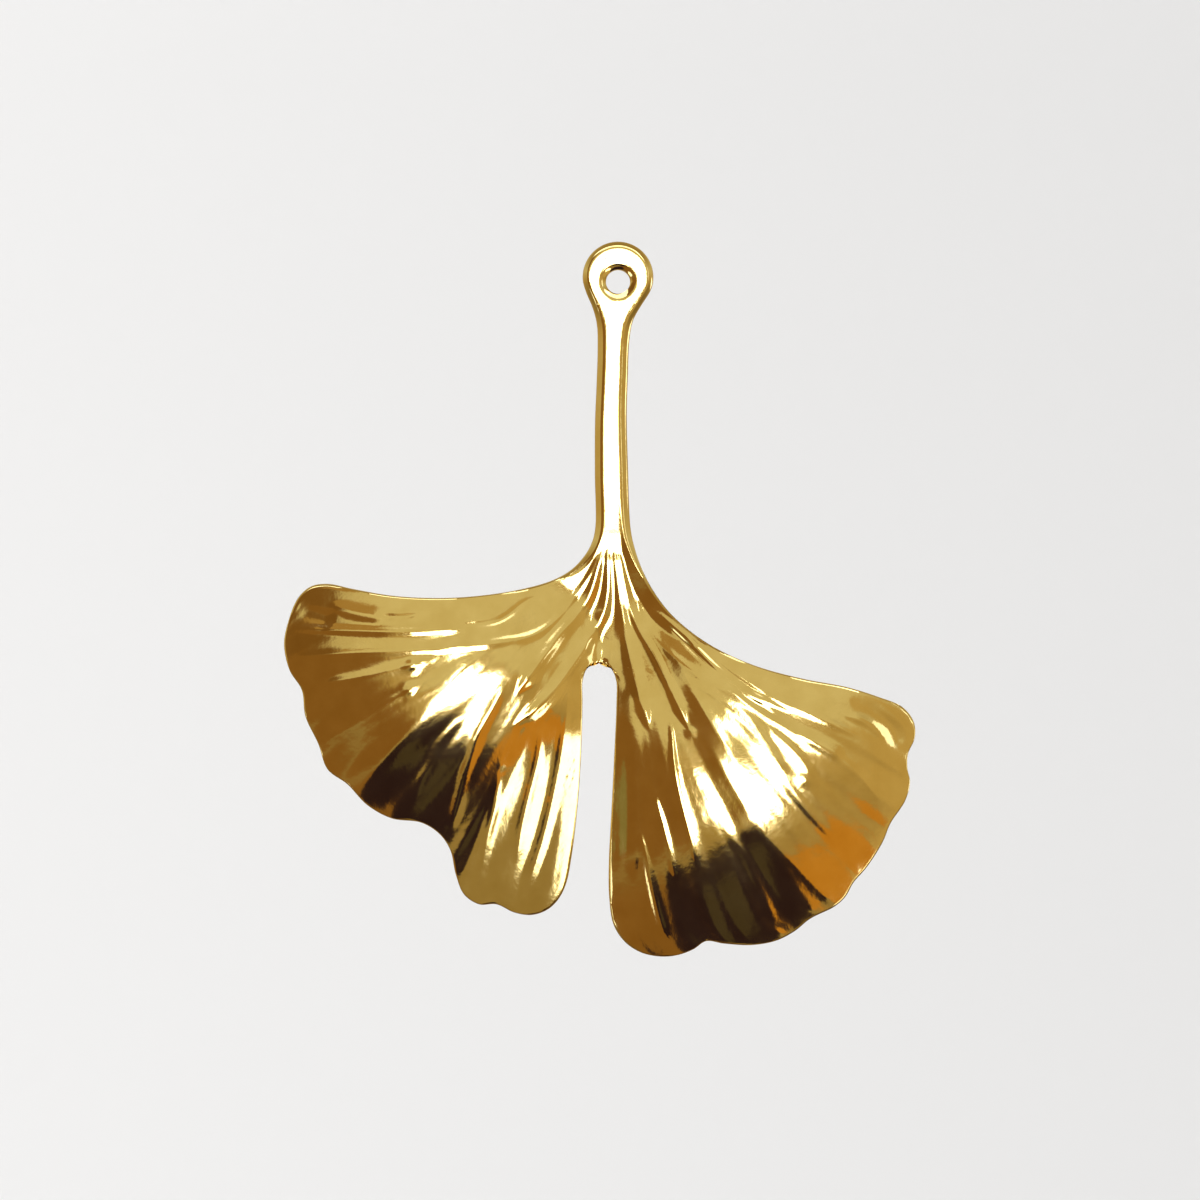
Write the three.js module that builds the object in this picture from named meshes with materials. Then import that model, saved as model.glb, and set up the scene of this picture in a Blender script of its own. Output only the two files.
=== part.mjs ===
// A ginkgo leaf charm, stamped and domed from one blank of brass: an eyelet, a stem and a two-lobed blade.
// Millimetres, +Z up. The charm hangs from its eyelet with its front towards -Y, and the origin is the middle
// of the eyelet's hole. The outline lies in the XZ plane, and the relief stands out of that plane along Y.
import * as THREE from "three";
import { mergeVertices } from "three/addons/utils/BufferGeometryUtils.js";

// Eyelet: a flat pad round a drilled hole, with the hole a little below the middle of the pad.
const HOLE_RADIUS = 0.6;
const EYELET_RADIUS = 1.77;
const EYELET_RISE = 0.25;
const EYELET_ARC_POINTS = 7;

// Thickness of the metal. The bevel runs round every edge of the front and the back.
const EYELET_THICKNESS = 1.1;
const BLADE_THICKNESS = 0.7;
const BEVEL_WIDTH = 0.22;
const BEVEL_DROP = 0.16;
const STEM_ROUNDNESS = 0.75;

// Relief. Each lobe is one dome that stands out towards the front, with pleats that fan out along the veins.
// The larger flatEnds is, the more a dome's slope levels off towards its two ends. The pleats have their
// stated height where the side is as wide as PLEATS_MEASURED_AT, and grow with the square of its width.
const PLEATS = 10;
const PLEAT_HEIGHT = 0.06;
const PLEATS_MEASURED_AT = 12;
const DOMES = {
  left: { x: -9.3, z: -20.5, height: 1.5, halfWidth: 9.0, halfLength: 8.2, flatEnds: 1.0 },
  right: { x: 6.6, z: -25.0, height: 1.5, halfWidth: 9.5, halfLength: 10.5, flatEnds: 0.05 },
};
// The palm, where the stem opens into the blade. The domes rise from it between these two distances, and near
// it the sheet never falls behind the stem.
const PALM_MIDDLE = [-0.3, -12.6];
const DOME_STARTS = 0.8;
const DOME_FULL = 8.5;
const PALM_LIFT = 0.2;
const LIFT_FADES = [4, 10];
const BLADE_STARTS_AT = -12.3;
const BLADE_FULL_AT = -16.5;

// Mesh density, in rows along the leaf and columns across one side of it.
const EYELET_ROWS = 12;
const STEM_ROWS = 8;
const PALM_ROWS = 8;
const LOBE_ROWS = 15;
const STEM_COLUMNS = 6;
const BLADE_COLUMNS = 4 * PLEATS;

// The share of the upper margin that lies beside the undivided palm, above the notch.
const PALM_SHARE = 0.34;
// How fast the rows bend into the curve of the rim as they near it.
const RIM_BEND_POWER = 1.4;
// How closely the rows crowd towards the top of the notch, where the outline turns fast. 1 is even spacing.
const NOTCH_CROWDING = 1.3;

// Outline points as [x, z]. Each side runs from the neck under the eyelet down the stem, out along the upper
// margin, round the scalloped rim and back up the edge of the notch.
const NOTCH_TOP = [-0.95, -19.05];
const CENTRE_LINE = [
  [0, -HOLE_RADIUS],
  [-0.2, -3],
  [-0.35, -7],
  [-0.3, -10],
  [-0.26, BLADE_STARTS_AT],
  [-0.45, -16],
  NOTCH_TOP,
];
// The centre line's stretches from the hole to where the blade starts.
const STEM_POINTS = CENTRE_LINE.length - 3;

const SIDES = {
  left: {
    turn: -1,
    eyeletEnds: 205,
    stem: [[-1.27, -1.3], [-1.06, -2.1], [-1.02, -3.3], [-1.07, -5], [-1.15, -7], [-1.16, -9.6]],
    margin: [
      [-1.14, BLADE_STARTS_AT], [-1.34, -13.1], [-1.78, -13.82], [-2.4, -14.43], [-3.3, -14.92],
      [-4.7, -15.33], [-6.6, -15.65], [-8.8, -15.8], [-11.2, -15.69], [-13.2, -15.35], [-14.5, -15.09],
      [-15.35, -15.22],
    ],
    rim: [
      [-16, -15.82], [-16.45, -16.9], [-16.68, -18.1], [-16.4, -19.4], [-15.78, -20.4], [-15.6, -21.7],
      [-14.95, -23.1], [-14.5, -24.35], [-13.5, -25.1], [-12.5, -26.15], [-11.3, -26.8], [-9.8, -27.02],
      [-8.9, -27.6], [-8.38, -28.4], [-8.12, -29.6], [-7.7, -30.65], [-6.95, -31.15], [-6.1, -31.15],
      [-5.2, -31.58], [-4.35, -31.71], [-3.6, -31.48], [-3.05, -31.0],
    ],
    notch: [
      [-2.62, -30.2], [-2.3, -28.6], [-2.02, -26.2], [-1.84, -23.5], [-1.77, -21], [-1.76, -19.9],
      [-1.5, -19.28],
    ],
  },
  right: {
    turn: 1,
    eyeletEnds: -20,
    stem: [[1.12, -1.25], [0.76, -1.9], [0.58, -2.8], [0.49, -4.8], [0.44, -6.6], [0.5, -9.2]],
    margin: [
      [0.63, BLADE_STARTS_AT], [0.82, -13.25], [1.2, -14.35], [1.78, -15.46], [2.62, -16.57], [3.85, -17.64],
      [5.2, -18.47], [7, -19.23], [9.2, -19.82], [11.4, -20.24], [12.9, -20.7],
    ],
    rim: [
      [14.2, -21.24], [14.78, -22.0], [14.82, -22.8], [14.48, -23.6], [14.45, -24.3], [14.58, -25.0],
      [14.35, -25.9], [13.6, -27.05], [13.2, -28], [12.4, -29.25], [11.75, -30.0], [11.35, -30.7],
      [10.8, -31.2], [9.6, -31.8], [8.8, -32.44], [7.9, -32.9], [6.7, -33.12], [5.3, -33.05],
      [4.4, -32.93], [3.75, -33.35], [2.9, -33.66], [2, -33.71], [1.1, -33.5], [0.35, -33.0],
    ],
    notch: [
      [-0.22, -32.15], [-0.44, -30.8], [-0.46, -29], [-0.34, -26.6], [-0.2, -23.8], [-0.08, -21],
      [-0.1, -19.9], [-0.38, -19.3],
    ],
  },
};

// One stretch of a smooth curve between two of the points it passes through.
class Stretch extends THREE.Curve {
  constructor(spline, from, to) {
    super();
    this.spline = spline;
    this.from = from;
    this.to = to;
  }

  getPoint(t) {
    const place = this.from + (this.to - this.from) * t;
    return this.spline.getPoint(place / (this.spline.points.length - 1));
  }
}

function splineThrough(points) {
  const places = points.map(([x, z]) => new THREE.Vector3(x, 0, z));
  return new THREE.CatmullRomCurve3(places, false, "centripetal");
}

// Points at even angles along an arc in the XZ plane.
function arcPoints(middle, radius, startDegrees, endDegrees, count) {
  return Array.from({ length: count }, (_, i) => {
    const angle = THREE.MathUtils.degToRad(startDegrees + ((endDegrees - startDegrees) * i) / (count - 1));
    return [middle[0] + radius * Math.cos(angle), middle[1] + radius * Math.sin(angle)];
  });
}

// The curves that bound one side of the charm, split where the eyelet, stem, blade and rim meet. The outline
// has one point more at each end, taken from the other side, so that it runs level through the top and notch.
function sideCurves(side, otherSide) {
  const arc = arcPoints([0, EYELET_RISE], EYELET_RADIUS, 90, side.eyeletEnds, EYELET_ARC_POINTS);
  const pastTop = [-arc[1][0], arc[1][1]];
  const pastNotch = otherSide.notch.at(-1);
  const outline = splineThrough([
    pastTop, ...arc, ...side.stem, ...side.margin, ...side.rim, ...side.notch, NOTCH_TOP, pastNotch,
  ]);
  const topAt = 1;
  const neckAt = topAt + arc.length;
  const marginAt = neckAt + side.stem.length;
  const rimAt = marginAt + side.margin.length;
  const fingertipAt = rimAt + side.rim.length - 1;
  const notchTopAt = outline.points.length - 2;
  const hole = arcPoints([0, 0], HOLE_RADIUS, 90, 90 - side.turn * 180, 2 * EYELET_ARC_POINTS);
  const middle = splineThrough(CENTRE_LINE);
  return {
    eyelet: new Stretch(outline, topAt, neckAt),
    hole: new Stretch(splineThrough(hole), 0, hole.length - 1),
    stem: new Stretch(outline, neckAt, marginAt),
    stemMiddle: new Stretch(middle, 0, STEM_POINTS),
    margin: new Stretch(outline, marginAt, rimAt),
    palmMiddle: new Stretch(middle, STEM_POINTS, CENTRE_LINE.length - 1),
    notch: new Stretch(outline, notchTopAt, fingertipAt),
    rim: new Stretch(outline, rimAt, fingertipAt),
  };
}

// Shares from 0 to 1 across a row, with a point one bevel's width inside each end.
function columnShares(columns, rowLength) {
  const bevel = BEVEL_WIDTH / rowLength;
  const inner = Array.from({ length: columns - 1 }, (_, i) => bevel + ((1 - 2 * bevel) * i) / (columns - 2));
  return [0, ...inner, 1];
}

// One row of points from the outer edge to the inner one. Each keeps its share across the row, the row's
// width, whether it lies on a bevelled edge, and how round the stem and how deep the pleats are there.
function makeRow(outer, inner, columns, traits, bendAt = () => [0, 0]) {
  const width = outer.distanceTo(inner);
  return columnShares(columns, width).map((share, i) => {
    const [bendX, bendZ] = bendAt(share);
    const place = outer.clone().lerp(inner, share);
    const onEdge = i === 0 || traits.edge || (i === columns && traits.innerEdge);
    return { x: place.x + bendX, z: place.z + bendZ, share, width, onEdge, ...traits };
  });
}

// Rows round the eyelet, from its top down to the neck.
function eyeletRows(curves) {
  return Array.from({ length: EYELET_ROWS }, (_, i) => {
    const t = i / EYELET_ROWS;
    const traits = { round: 0, pleat: 0, innerEdge: true };
    return makeRow(curves.eyelet.getPointAt(t), curves.hole.getPointAt(t), STEM_COLUMNS, traits);
  });
}

// Rows down the stem. Its section turns from the eyelet's flat one to a rounded one.
function stemRows(curves) {
  return Array.from({ length: STEM_ROWS }, (_, i) => {
    const t = i / STEM_ROWS;
    const traits = { round: THREE.MathUtils.smoothstep(t, 0, 0.3), pleat: 0, innerEdge: i === 0 };
    return makeRow(curves.stem.getPointAt(t), curves.stemMiddle.getPointAt(t), STEM_COLUMNS, traits);
  });
}

// Places of the blade's rows along it, 0 at the stem and 1 at the rim, one of them a bevel inside the rim.
function bladeRowPlaces(marginLength) {
  const palm = Array.from({ length: PALM_ROWS }, (_, i) => (PALM_SHARE * i) / PALM_ROWS);
  const lobeLength = 1 - BEVEL_WIDTH / marginLength - PALM_SHARE;
  const lobe = Array.from({ length: LOBE_ROWS }, (_, i) => {
    return PALM_SHARE + lobeLength * (i / (LOBE_ROWS - 1)) ** NOTCH_CROWDING;
  });
  return [...palm, ...lobe, 1];
}

// Rows of the blade. They join the upper margin to the middle of the palm and then to the notch's edge, and
// they bend little by little into the curve of the rim.
function bladeRows(curves) {
  const tip = curves.rim.getPointAt(0);
  const fingertip = curves.rim.getPointAt(1);
  return bladeRowPlaces(curves.margin.getLength()).map((t, i) => {
    const inPalm = t < PALM_SHARE;
    const inner = inPalm
      ? curves.palmMiddle.getPointAt(t / PALM_SHARE)
      : curves.notch.getPointAt((t - PALM_SHARE) / (1 - PALM_SHARE));
    const bendAt = (share) => {
      const bend = curves.rim.getPointAt(share).sub(tip.clone().lerp(fingertip, share));
      return [bend.x * t ** RIM_BEND_POWER, bend.z * t ** RIM_BEND_POWER];
    };
    const spread = THREE.MathUtils.smoothstep(t, 0, PALM_SHARE);
    const columns = Math.min(BLADE_COLUMNS, STEM_COLUMNS + i * 6);
    const traits = { round: 1 - spread, pleat: spread, edge: t === 1, innerEdge: !inPalm };
    return makeRow(curves.margin.getPointAt(t), inner, columns, traits, bendAt);
  });
}

// How far a dome stands out at a place on the blade.
function domeHeight(dome, x, z) {
  const across = (x - dome.x) / dome.halfWidth;
  const along = (z - dome.z) / dome.halfLength;
  const fall = (2 * (Math.sqrt(1 + dome.flatEnds * along * along) - 1)) / dome.flatEnds;
  return dome.height * (1 - across * across - fall);
}

// How far the stem has thinned into the blade: 0 on the stem, 1 on the blade.
function bladeShare(z) {
  return THREE.MathUtils.smoothstep(-z, -BLADE_STARTS_AT, -BLADE_FULL_AT);
}

// How far the middle of the sheet stands out towards the front: none on the stem, two domes on the blade.
function sheetHeight(point) {
  const { x, z } = point;
  const notchDepth = THREE.MathUtils.smoothstep(-z, -BLADE_STARTS_AT, -NOTCH_TOP[1]);
  const reach = THREE.MathUtils.lerp(3, 0.6, notchDepth);
  const toRight = THREE.MathUtils.smoothstep(x, NOTCH_TOP[0] - reach, NOTCH_TOP[0] + reach);
  const dome = THREE.MathUtils.lerp(domeHeight(DOMES.left, x, z), domeHeight(DOMES.right, x, z), toRight);
  const fromPalm = Math.hypot(x - PALM_MIDDLE[0], z - PALM_MIDDLE[1]);
  const lifted = 0.5 * (dome + Math.hypot(dome, PALM_LIFT));
  const nearPalm = THREE.MathUtils.lerp(lifted, dome, THREE.MathUtils.smoothstep(fromPalm, ...LIFT_FADES));
  const onBlade = z < PALM_MIDDLE[1] + DOME_STARTS;
  const rising = onBlade ? THREE.MathUtils.smoothstep(fromPalm, DOME_STARTS, DOME_FULL) : 0;
  const pleatHeight = PLEAT_HEIGHT * (point.width / PLEATS_MEASURED_AT) ** 2 * point.pleat;
  const pleat = 0.5 * pleatHeight * (1 - Math.cos(2 * Math.PI * PLEATS * point.share));
  return nearPalm * rising + pleat;
}

// Half of the metal's thickness at a point.
function halfThickness(point) {
  const flat = 0.5 * THREE.MathUtils.lerp(EYELET_THICKNESS, BLADE_THICKNESS, bladeShare(point.z));
  const fromMiddle = 1 - point.share;
  const rounded = flat * Math.sqrt(1 - STEM_ROUNDNESS * point.round * fromMiddle ** 4);
  return point.onEdge ? Math.min(rounded, flat - BEVEL_DROP) : rounded;
}

function frontPoint(point) {
  return [point.x, -sheetHeight(point) - halfThickness(point), point.z];
}

function backPoint(point) {
  return [point.x, -sheetHeight(point) + halfThickness(point), point.z];
}

// Fills the strip between two rows, which may differ in their number of points, with triangles.
function fillStrip(upper, lower, addTriangle) {
  let i = 0;
  let j = 0;
  while (i < upper.length - 1 || j < lower.length - 1) {
    const nextUpper = i < upper.length - 1 ? upper[i + 1].share : Infinity;
    const nextLower = j < lower.length - 1 ? lower[j + 1].share : Infinity;
    if (nextLower <= nextUpper) {
      addTriangle(upper[i], lower[j], lower[j + 1]);
      j += 1;
    } else {
      addTriangle(upper[i], lower[j], upper[i + 1]);
      i += 1;
    }
  }
}

// The front, the back and the edge walls of one side of the charm, added to a list of corner positions.
function addSide(side, otherSide, positions) {
  const curves = sideCurves(side, otherSide);
  const rows = [...eyeletRows(curves), ...stemRows(curves), ...bladeRows(curves)];
  const add = (a, b, c) => positions.push(...(side.turn < 0 ? [...a, ...b, ...c] : [...a, ...c, ...b]));
  const addWall = (a, b) => {
    add(frontPoint(a), backPoint(b), frontPoint(b));
    add(frontPoint(a), backPoint(a), backPoint(b));
  };
  for (let i = 0; i < rows.length - 1; i += 1) {
    const [upper, lower] = [rows[i], rows[i + 1]];
    fillStrip(upper, lower, (a, b, c) => {
      add(frontPoint(a), frontPoint(b), frontPoint(c));
      add(backPoint(a), backPoint(c), backPoint(b));
    });
    addWall(upper[0], lower[0]);
    if (upper.at(-1).onEdge && lower.at(-1).onEdge) addWall(lower.at(-1), upper.at(-1));
  }
  const rim = rows.at(-1);
  for (let i = 0; i < rim.length - 1; i += 1) addWall(rim[i], rim[i + 1]);
}

// The whole charm is one piece of metal, so it is one closed mesh: its two sides meet down the middle.
function charmGeometry() {
  const positions = [];
  addSide(SIDES.left, SIDES.right, positions);
  addSide(SIDES.right, SIDES.left, positions);
  const loose = new THREE.BufferGeometry();
  loose.setAttribute("position", new THREE.Float32BufferAttribute(positions, 3));
  const geometry = mergeVertices(loose, 1e-4);
  geometry.computeVertexNormals();
  return geometry;
}

const goldPlate = new THREE.MeshStandardMaterial({ color: 0xd8a63c, metalness: 1, roughness: 0.14 });

const charm = new THREE.Mesh(charmGeometry(), goldPlate);
charm.name = "ginkgo_leaf_charm";

const group = new THREE.Group();
group.add(charm);

export default group;
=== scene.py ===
"""Looks for the ginkgo leaf charm: a fine mesh of the stamped leaf, its gold plate, and a plain studio."""
import math

import bmesh
import bpy
import numpy as np
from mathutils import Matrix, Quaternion, Vector, kdtree


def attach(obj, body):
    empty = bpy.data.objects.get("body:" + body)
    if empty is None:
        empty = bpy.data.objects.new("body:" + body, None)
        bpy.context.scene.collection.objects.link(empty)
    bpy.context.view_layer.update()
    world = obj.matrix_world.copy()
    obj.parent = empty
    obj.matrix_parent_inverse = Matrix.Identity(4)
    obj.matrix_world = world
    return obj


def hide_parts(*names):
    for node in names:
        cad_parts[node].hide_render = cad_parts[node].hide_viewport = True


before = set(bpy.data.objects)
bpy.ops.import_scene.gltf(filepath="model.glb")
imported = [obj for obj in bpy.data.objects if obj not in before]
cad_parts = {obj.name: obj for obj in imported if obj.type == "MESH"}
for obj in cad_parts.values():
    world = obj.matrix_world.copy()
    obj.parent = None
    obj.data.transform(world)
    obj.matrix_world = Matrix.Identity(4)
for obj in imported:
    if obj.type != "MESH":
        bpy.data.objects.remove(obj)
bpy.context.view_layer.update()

MM = 0.001

# Driving dimensions in millimetres, as in the CAD model. Outline points are (x, z). The palm is where
# the stem opens into the blade, down to the notch. PALM_SHARE is its share of the margin's length.
HOLE_RADIUS = 0.6
EYELET_RADIUS = 1.77
EYELET_RISE = 0.25
EYELET_ARC_POINTS = 7
BLADE_STARTS_AT = -12.3
BLADE_FULL_AT = -16.5
EYELET_THICKNESS = 1.1
BLADE_THICKNESS = 0.7
NOTCH_TOP = (-0.95, -19.05)
PALM_SHARE = 0.34
RIM_BEND_POWER = 1.4

CENTRE_LINE = [
    (0, -HOLE_RADIUS), (-0.2, -3), (-0.35, -7), (-0.3, -10), (-0.26, BLADE_STARTS_AT), (-0.45, -16),
    NOTCH_TOP,
]
STEM_POINTS = len(CENTRE_LINE) - 3

# Each side's outline, from the eyelet down the stem, out along the margin, round the rim and up the
# notch. eyelet_ends is the angle in degrees where the eyelet's arc meets the stem.
SIDES = {
    "left": {
        "turn": -1,
        "eyelet_ends": 205,
        "stem": [(-1.27, -1.3), (-1.06, -2.1), (-1.02, -3.3), (-1.07, -5), (-1.15, -7), (-1.16, -9.6)],
        "margin": [
            (-1.14, BLADE_STARTS_AT), (-1.34, -13.1), (-1.78, -13.82), (-2.4, -14.43), (-3.3, -14.92),
            (-4.7, -15.33), (-6.6, -15.65), (-8.8, -15.8), (-11.2, -15.69), (-13.2, -15.35),
            (-14.5, -15.09), (-15.35, -15.22),
        ],
        "rim": [
            (-16, -15.82), (-16.45, -16.9), (-16.68, -18.1), (-16.4, -19.4), (-15.78, -20.4),
            (-15.6, -21.7), (-14.95, -23.1), (-14.5, -24.35), (-13.5, -25.1), (-12.5, -26.15),
            (-11.3, -26.8), (-9.8, -27.02), (-8.9, -27.6), (-8.38, -28.4), (-8.12, -29.6), (-7.7, -30.65),
            (-6.95, -31.15), (-6.1, -31.15), (-5.2, -31.58), (-4.35, -31.71), (-3.6, -31.48),
            (-3.05, -31.0),
        ],
        "notch": [
            (-2.62, -30.2), (-2.3, -28.6), (-2.02, -26.2), (-1.84, -23.5), (-1.77, -21), (-1.76, -19.9),
            (-1.5, -19.28),
        ],
    },
    "right": {
        "turn": 1,
        "eyelet_ends": -20,
        "stem": [(1.12, -1.25), (0.76, -1.9), (0.58, -2.8), (0.49, -4.8), (0.44, -6.6), (0.5, -9.2)],
        "margin": [
            (0.63, BLADE_STARTS_AT), (0.82, -13.25), (1.2, -14.35), (1.78, -15.46), (2.62, -16.57),
            (3.85, -17.64), (5.2, -18.47), (7, -19.23), (9.2, -19.82), (11.4, -20.24), (12.9, -20.7),
        ],
        "rim": [
            (14.2, -21.24), (14.78, -22.0), (14.82, -22.8), (14.48, -23.6), (14.45, -24.3),
            (14.58, -25.0), (14.35, -25.9), (13.6, -27.05), (13.2, -28), (12.4, -29.25), (11.75, -30.0),
            (11.35, -30.7), (10.8, -31.2), (9.6, -31.8), (8.8, -32.44), (7.9, -32.9), (6.7, -33.12),
            (5.3, -33.05), (4.4, -32.93), (3.75, -33.35), (2.9, -33.66), (2, -33.71), (1.1, -33.5),
            (0.35, -33.0),
        ],
        "notch": [
            (-0.22, -32.15), (-0.44, -30.8), (-0.46, -29), (-0.34, -26.6), (-0.2, -23.8), (-0.08, -21),
            (-0.1, -19.9), (-0.38, -19.3),
        ],
    },
}

# Relief of the sheet, in millimetres. The larger flat_ends is, the more a dome's slope levels off
# towards its ends. The blend between the two domes is wide at the blade's start and narrow at the notch.
DOMES = {
    "left": {
        "x": -9.3, "z": -20.5, "height": 1.5, "half_width": 9.0, "half_length": 8.2, "flat_ends": 1.0,
    },
    "right": {
        "x": 6.6, "z": -25.0, "height": 1.5, "half_width": 9.5, "half_length": 10.5, "flat_ends": 0.05,
    },
}
BLEND_REACH_AT_START = 3.0
BLEND_REACH_AT_NOTCH = 0.6
PLEATS = 10
PLEAT_HEIGHT = 0.012
FINE_PLEATS = 27
FINE_PLEAT_HEIGHT = 0.0018
PLEATS_MEASURED_AT = 12.0
PLEATS_FULL_AT = -18.5

# The domes rise out of the stem's foot, over these distances from its middle. Near it they stay above
# the stem's level, with a soft lower limit.
PALM_MIDDLE = (-0.3, -12.6)
DOME_STARTS = 0.8
DOME_FULL = 8.5
PALM_LIFT = 0.2
LIFT_FADES = (4, 10)

# Rounded edges, in millimetres. The eyelet's turns into the stem's, and the stem's into the blade's
# fine one, over these distances below the hole's middle.
EDGE_RADIUS = 0.06
STEM_EDGE_RADIUS = 0.42
EYELET_EDGE_RADIUS = 0.3
EYELET_EDGE_FADES = (1.2, 2.6)
STEM_EDGE_FADES = (12.5, 16.0)
COUNTERSINK_RADIUS = 0.92
COUNTERSINK_DEPTH = 0.14
COUNTERSINK_CURVE = 1.5

# Veins on the front: points, half width and height, which is below zero for a groove. A vein enters and
# leaves with a taper, over these shares of its length, and grows to its full size from a smaller one.
# It stops short of the leaf's edge. The back shows its hollow at a share of its height.
VEINS = {
    "left_pad_edge": ([(-7.6, -17.35), (-8.6, -17.4), (-11, -17.45), (-16.4, -17.3)], 0.2, 0.045),
    "left_pad_groove": ([(-4.0, -15.7), (-4.65, -16.0), (-5.9, -16.9), (-8.0, -17.2)], 0.17, -0.028),
    "left_pad_notch": ([(-9.9, -16.6), (-10.8, -16.75), (-11.8, -16.7)], 0.14, -0.022),
    "left_pad_streak": ([(-14.4, -16.15), (-12.9, -16.6), (-11.6, -16.8)], 0.3, 0.035),
    "left_tip_fold": ([(-16.1, -16.3), (-15.2, -16.6), (-14.2, -17.0)], 0.5, -0.05),
    "left_long": (
        [(-0.9, -13.4), (-1.7, -15.1), (-3.85, -17.45), (-6.45, -18.05), (-11.05, -18.45),
        (-16.4, -18.75)], 0.22, 0.042,
    ),
    "left_outer_a": ([(-8.9, -18.8), (-10.1, -19.1), (-12.4, -19.7), (-14.8, -20.1)], 0.22, 0.022),
    "left_outer_b": ([(-9.6, -19.95), (-10.9, -20.7), (-13.25, -22.05), (-14.8, -23.1)], 0.22, 0.022),
    "left_dark_a": ([(-7.7, -21.7), (-8.9, -23.1), (-10.3, -26.15)], 0.28, 0.02),
    "left_dark_b": ([(-5.5, -19.9), (-7, -22.75), (-7.95, -25.7), (-8.3, -27.6)], 0.24, 0.035),
    "left_bundle_a": ([(-0.75, -13.4), (-1.55, -15.9), (-3.05, -17.8), (-5.15, -20.75)], 0.3, 0.085),
    "left_bundle_b": (
        [(-0.5, -13.2), (-0.65, -16.25), (-2.05, -18.85), (-3.7, -21.0), (-5.4, -22.35)], 0.3, 0.085,
    ),
    "left_finger_a": ([(-5.85, -24.15), (-6.3, -26.9), (-7.15, -30.55)], 0.2, 0.022),
    "left_finger_b": ([(-3.85, -22.05), (-4.05, -23.95), (-4.7, -26.75), (-5.15, -29.25)], 0.24, 0.026),
    "left_finger_c": ([(-2.45, -20.25), (-2.9, -23.9), (-3.65, -27.4), (-4.9, -31.1)], 0.28, 0.035),
    "palm_hollow": ([(-0.9, -16.6), (-0.98, -17.4), (-1.0, -18.3)], 0.45, -0.03),
    "right_bundle_a": ([(0.0, -13.3), (0.75, -16.65), (1.9, -18.8), (3.6, -22.5)], 0.22, 0.055),
    "right_bundle_b": ([(-0.2, -13.3), (0.2, -16.4), (0.75, -19.35), (1.6, -22.5)], 0.3, 0.075),
    "right_finger_inner": ([(0.5, -20.0), (0.7, -22.3), (0.72, -25.0), (0.7, -30.0)], 0.45, 0.05),
    "right_finger_a": ([(2.6, -21.8), (2.9, -24.8), (3.7, -28.1), (4, -29.4)], 0.15, 0.035),
    "right_finger_b": ([(1.1, -27.4), (1.9, -31.25), (2.4, -33)], 0.2, 0.045),
    "right_finger_c": ([(1.85, -25.7), (2.3, -27.4), (2.9, -29.85)], 0.17, 0.038),
    "right_middle": ([(4.1, -24.9), (5.5, -27.5), (6.35, -28.7), (8.0, -32.5)], 0.24, 0.012),
    "right_ridge": ([(3.2, -19.7), (6.65, -21.9), (8.65, -25.4), (11.35, -28.4)], 0.28, 0.02),
    "right_long": (
        [(0.9, -15.6), (2.2, -18.2), (7.95, -21.95), (11.8, -24.4), (13.1, -25.95)], 0.24, 0.024,
    ),
    "right_upper": (
        [(1.2, -16.0), (3.6, -17.9), (5.85, -20.4), (8.65, -21.15), (12.25, -22.8)], 0.24, 0.036,
    ),
    "right_tip_fold": ([(11.6, -20.9), (12.8, -21.5), (13.7, -22.4), (14.0, -23.4)], 0.4, -0.05),
    "right_tip_ridge": ([(11.2, -21.6), (12.4, -22.0), (13.4, -22.9)], 0.22, 0.03),
    "right_groove_a": ([(2.4, -17.1), (4.2, -18.85), (6.2, -20.6), (8.2, -21.9)], 0.13, -0.028),
    "right_groove_b": ([(3.3, -17.5), (5.0, -19.1), (6.8, -20.4), (8.6, -21.4)], 0.12, -0.022),
    "right_streak_a": ([(8.95, -22.45), (11.25, -23.65)], 0.3, 0.04),
    "right_streak_b": ([(7.5, -22.2), (8.8, -23.6), (9.9, -24.8)], 0.25, 0.02),
}
VEIN_ENTERS_OVER = 0.08
VEIN_LEAVES_OVER = 0.15
VEIN_FULL_OVER = 0.35
VEIN_SIZE_AT_START = 0.45
VEIN_NARROWEST = 0.3
VEIN_REACH = 3
VEIN_EDGE_GAP = 0.35
BACK_VEIN_SHARE = 0.5

# Small beads of metal on the front: middle (x, z), radius and height.
BEADS = [
    ((-10.25, -19.15), 0.36, 0.045), ((-10.4, -20.35), 0.3, 0.038), ((-5.75, -24.15), 0.16, 0.02),
    ((3.6, -22.5), 0.24, 0.026), ((9.35, -24.85), 0.28, 0.032), ((11.85, -29.15), 0.16, 0.02),
    ((10.45, -30.75), 0.16, 0.02), ((9.6, -31.3), 0.14, 0.02), ((8.05, -32.5), 0.14, 0.02),
]

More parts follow.
